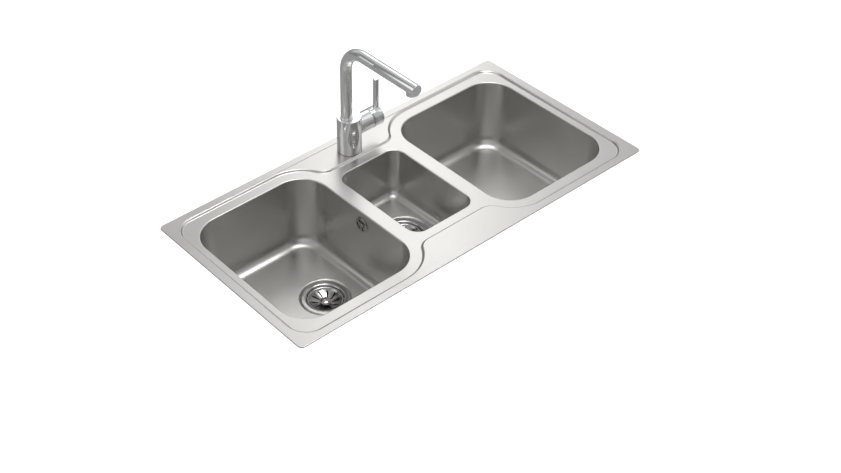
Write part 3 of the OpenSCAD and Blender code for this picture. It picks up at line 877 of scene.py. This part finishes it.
def satin_steel():
    m, t, b = material("satin_steel", "satin_steel", (0.62, 0.615, 0.598), 0.32)
    fine = noise(t, coords(t, (1, 1, 1)), 900, 3)
    drift = noise(t, coords(t), 9, 3)
    t.links.new(remap(t, drift, 0.29, 0.35), b.inputs["Roughness"])
    tone = ramp(t, drift, (0.605, 0.60, 0.582), (0.635, 0.63, 0.614))
    t.links.new(tone, b.inputs["Base Color"])
    bump(t, b, fine, 0.06, 0.0003)
    return m


def polished_steel():
    m, t, b = material("polished_steel", "polished_steel", (0.46, 0.455, 0.445), 0.2)
    drift = noise(t, coords(t), 60, 3)
    t.links.new(remap(t, drift, 0.13, 0.2), b.inputs["Roughness"])
    t.links.new(ramp(t, drift, (0.43, 0.425, 0.415), (0.49, 0.485, 0.475)), b.inputs["Base Color"])
    return m


def chrome():
    m, t, b = material("chrome", "chrome", (0.86, 0.865, 0.87), 0.05, metallic=0.7)
    drift = noise(t, coords(t), 40, 3)
    t.links.new(remap(t, drift, 0.035, 0.07), b.inputs["Roughness"])
    t.links.new(ramp(t, drift, (0.85, 0.855, 0.86), (0.87, 0.875, 0.88)), b.inputs["Base Color"])
    return m


def zinc_steel():
    m, t, b = material("zinc_steel", "zinc_steel", (0.6, 0.61, 0.62), 0.38)
    spangle = noise(t, coords(t), 240, 4)
    t.links.new(remap(t, spangle, 0.3, 0.46), b.inputs["Roughness"])
    t.links.new(ramp(t, spangle, (0.52, 0.53, 0.55), (0.68, 0.68, 0.67)), b.inputs["Base Color"])
    return m


def brass():
    m, t, b = material("brass", "brass", (0.72, 0.55, 0.26), 0.3)
    turned = noise(t, coords(t, (1, 1, 30)), 60, 3)
    t.links.new(remap(t, turned, 0.24, 0.36), b.inputs["Roughness"])
    t.links.new(ramp(t, turned, (0.66, 0.49, 0.22), (0.78, 0.61, 0.31)), b.inputs["Base Color"])
    return m


def moulded(name, dark, light, rough, grain, depth):
    m, t, b = material(name, name, light, rough, metallic=0.0)
    g = noise(t, coords(t), grain, 4)
    t.links.new(ramp(t, g, dark, light), b.inputs["Base Color"])
    t.links.new(remap(t, g, rough - 0.06, rough + 0.08), b.inputs["Roughness"])
    bump(t, b, g, 0.15, depth)
    return m


def braid():
    """Two crossing helices of wire round the straight part of the hose."""
    m, t, b = material("hose_braid", "grey_plastic", (0.35, 0.36, 0.37), 0.4, metallic=0.0)
    xyz = add(t, "ShaderNodeSeparateXYZ")
    t.links.new(add(t, "ShaderNodeTexCoord").outputs["Object"], xyz.inputs[0])
    dx = calc(t, "SUBTRACT", xyz.outputs["X"], RISER[0] * MM)
    dz = calc(t, "SUBTRACT", xyz.outputs["Z"], SPOUT_Z * MM)
    angle = calc(t, "MULTIPLY", calc(t, "ARCTAN2", dx, dz), 8.0)
    run = calc(t, "MULTIPLY", xyz.outputs["Y"], 1500.0)
    one = calc(t, "SINE", calc(t, "ADD", run, angle))
    two = calc(t, "SINE", calc(t, "SUBTRACT", run, angle))
    weave = calc(t, "MAXIMUM", one, two)
    t.links.new(ramp(t, weave, (0.12, 0.12, 0.13), (0.5, 0.51, 0.52)), b.inputs["Base Color"])
    t.links.new(remap(t, weave, 0.5, 0.3), b.inputs["Roughness"])
    bump(t, b, weave, 0.4, 0.0004)
    return m


MATERIALS = {
    "satin_steel": satin_steel(),
    "polished_steel": polished_steel(),
    "chrome": chrome(),
    "zinc_steel": zinc_steel(),
    "brass": brass(),
    "black_rubber": moulded(
        "black_rubber", (0.012, 0.012, 0.012), (0.03, 0.03, 0.03), 0.6, 500, 0.0002
    ),
    "grey_plastic": moulded(
        "grey_plastic", (0.05, 0.05, 0.055), (0.085, 0.085, 0.09), 0.45, 300, 0.0002
    ),
    "white_plastic": moulded(
        "white_plastic", (0.72, 0.72, 0.70), (0.82, 0.82, 0.80), 0.4, 300, 0.0001
    ),
    "bitumen": moulded("bitumen", (0.03, 0.03, 0.03), (0.07, 0.07, 0.07), 0.75, 160, 0.0006),
}

build_deck()
for side in SIDES:
    build_bowl(side)
    build_waste(side)
build_overflow()
build_tap()
build_handle()
hose = build_hose()

slot_of = {s["node"]: s["material_slot"] for s in frame["record"]["subparts"]}
for name, obj in frame["nodes"].items():
    obj.data.materials.clear()
    obj.data.materials.append(MATERIALS[slot_of[name]])
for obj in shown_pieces():
    if "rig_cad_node" not in obj:
        obj.data.materials.clear()
        obj.data.materials.append(MATERIALS[obj.get("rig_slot", "chrome")])
hose.data.materials.clear()
hose.data.materials.append(braid())


# ---------- camera, floor and light ----------


# The camera looks this way from its place (azimuth from +Y towards +X, degrees down, degrees of roll)
AZIMUTH, DOWN, ROLL = 36.52, 40.04, -2.84
CAMERA_AT = (-1.7553, -1.9272, 2.0549)
LENS, SHIFT_X = 63.12, 0.1552


def make_camera():
    az, el, roll = math.radians(AZIMUTH), math.radians(DOWN), math.radians(ROLL)
    d = Vector((math.sin(az) * math.cos(el), math.cos(az) * math.cos(el), -math.sin(el)))
    r = Vector((math.cos(az), -math.sin(az), 0))
    u = r.cross(d)
    r2 = r * math.cos(roll) + u * math.sin(roll)
    u2 = u * math.cos(roll) - r * math.sin(roll)
    data = bpy.data.cameras.new("camera")
    data.sensor_width = 36
    data.lens = LENS
    data.shift_x = SHIFT_X
    data.clip_start, data.clip_end = 0.05, 60
    cam = bpy.data.objects.new("camera", data)
    cam.matrix_world = Matrix((
        (r2.x, u2.x, -d.x, CAMERA_AT[0]),
        (r2.y, u2.y, -d.y, CAMERA_AT[1]),
        (r2.z, u2.z, -d.z, CAMERA_AT[2]),
        (0, 0, 0, 1),
    ))
    bpy.context.scene.collection.objects.link(cam)
    bpy.context.scene.camera = cam


def make_floor():
    """A pale floor at the level the sink is let into, open where the sink is, and dim where it's mirrored."""
    cutout = ((0, 0), CUTOUT_W, CUTOUT_D, CUTOUT_R)
    reach = 15000
    far = [(reach, reach), (-reach, reach), (-reach, -reach), (reach, -reach)]
    hole = loop_points(*cutout, 0, 8)
    v, f = fill([hole, far], [], [inside_rounded(*cutout)], lambda x, y: np.ones_like(x))
    parts = Parts()
    parts.add([(x, y, 0) for x, y in v], f)
    floor = make_piece("floor", parts.verts, parts.faces, None, None, None)
    m, t, b = material("pale_floor", "", (0.9, 0.9, 0.89), 0.55, metallic=0.0)
    b.inputs["Emission Color"].default_value = (1, 1, 1, 1)
    mirrored = add(t, "ShaderNodeLightPath").outputs["Is Glossy Ray"]
    t.links.new(remap(t, mirrored, 0.5, 0.0, 0, 1), b.inputs["Emission Strength"])
    plain = ramp(t, noise(t, coords(t), 3, 2), (0.89, 0.89, 0.885), (0.91, 0.91, 0.905))
    dim = add(t, "ShaderNodeMix", data_type="RGBA")
    colour_a, colour_b, colour_out = dim.inputs[6], dim.inputs[7], dim.outputs[2]
    colour_b.default_value = (0.2, 0.2, 0.2, 1)
    t.links.new(mirrored, dim.inputs["Factor"])
    t.links.new(plain, colour_a)
    t.links.new(colour_out, b.inputs["Base Color"])
    floor.data.materials.append(m)


def area_light(name, location, target, size, power):
    data = bpy.data.lights.new(name, "AREA")
    data.shape = "RECTANGLE"
    data.size, data.size_y = size
    data.energy = power
    obj = bpy.data.objects.new(name, data)
    obj.location = location
    obj.rotation_mode = "QUATERNION"
    obj.rotation_quaternion = (Vector(target) - Vector(location)).to_track_quat("-Z", "Y")
    bpy.context.scene.collection.objects.link(obj)


def soft_band(tree, value, centre, half, soft):
    """1 within half of the centre, falling to 0 over soft."""
    off = calc(tree, "ABSOLUTE", calc(tree, "SUBTRACT", value, centre))
    n = add(tree, "ShaderNodeMapRange", interpolation_type="SMOOTHSTEP")
    n.inputs["From Min"].default_value = half
    n.inputs["From Max"].default_value = half + soft
    n.inputs["To Min"].default_value = 1
    n.inputs["To Max"].default_value = 0
    tree.links.new(off, n.inputs["Value"])
    return n.outputs["Result"]


# The dome's panels: azimuth from +Y towards +X, half width and soft edge in degrees, and how
# much brighter (or darker) the dome is there
PANELS = (
    (-30.0, 11.0, 7.0, -0.9),
    (46.0, 8.0, 18.0, 0.65),
    (-142.0, 14.0, 18.0, 0.6),
    (-64.0, 13.0, 8.0, 1.6),
    (112.0, 14.0, 10.0, 1.3),
)
BACK_GAP = (180.0, 13.0, 6.0, -0.93)
DOME_LEVEL = 0.44
HORIZON_LEVEL = 0.08
BACKDROP = 0.93


def make_studio():
    """A pale dome, dim at the horizon, with bright panels and dark gaps. The camera sees plain white."""
    world = bpy.data.worlds.new("studio")
    world.use_nodes = True
    t = world.node_tree
    background = t.nodes["Background"]
    xyz = add(t, "ShaderNodeSeparateXYZ")
    t.links.new(add(t, "ShaderNodeTexCoord").outputs["Generated"], xyz.inputs[0])
    x, y, z = xyz.outputs
    azimuth = calc(t, "MULTIPLY", calc(t, "ARCTAN2", x, y), 180 / math.pi)
    dome = remap(t, z, HORIZON_LEVEL, DOME_LEVEL, 0.05, 0.35)
    zenith = remap(t, z, 1.0, 0.0, 0.75, 0.98)
    bands = [(azimuth, panel) for panel in PANELS] + [(calc(t, "ABSOLUTE", azimuth), BACK_GAP)]
    for angle, (centre, half, soft, gain) in bands:
        band = calc(t, "MULTIPLY", soft_band(t, angle, centre, half, soft), zenith)
        dome = calc(t, "MULTIPLY", dome, calc(t, "ADD", 1.0, calc(t, "MULTIPLY", band, gain)))
    seen = add(t, "ShaderNodeLightPath").outputs["Is Camera Ray"]
    plain = calc(t, "MULTIPLY", seen, BACKDROP)
    rest = calc(t, "MULTIPLY", calc(t, "SUBTRACT", 1.0, seen), dome)
    t.links.new(calc(t, "ADD", plain, rest), background.inputs["Strength"])
    background.inputs["Color"].default_value = (1, 1, 1, 1)
    bpy.context.scene.world = world


def make_light():
    make_studio()
    area_light("softbox_back", (1.6, 1.85, 1.9), (0, 0, 0), (1.0, 1.6), 5.5)
    area_light("softbox_top", (0.5, 0.1, 3.2), (0, 0, 0), (1.6, 1.6), 42)
    bpy.context.scene.view_settings.view_transform = "Standard"


make_camera()
make_floor()
make_light()
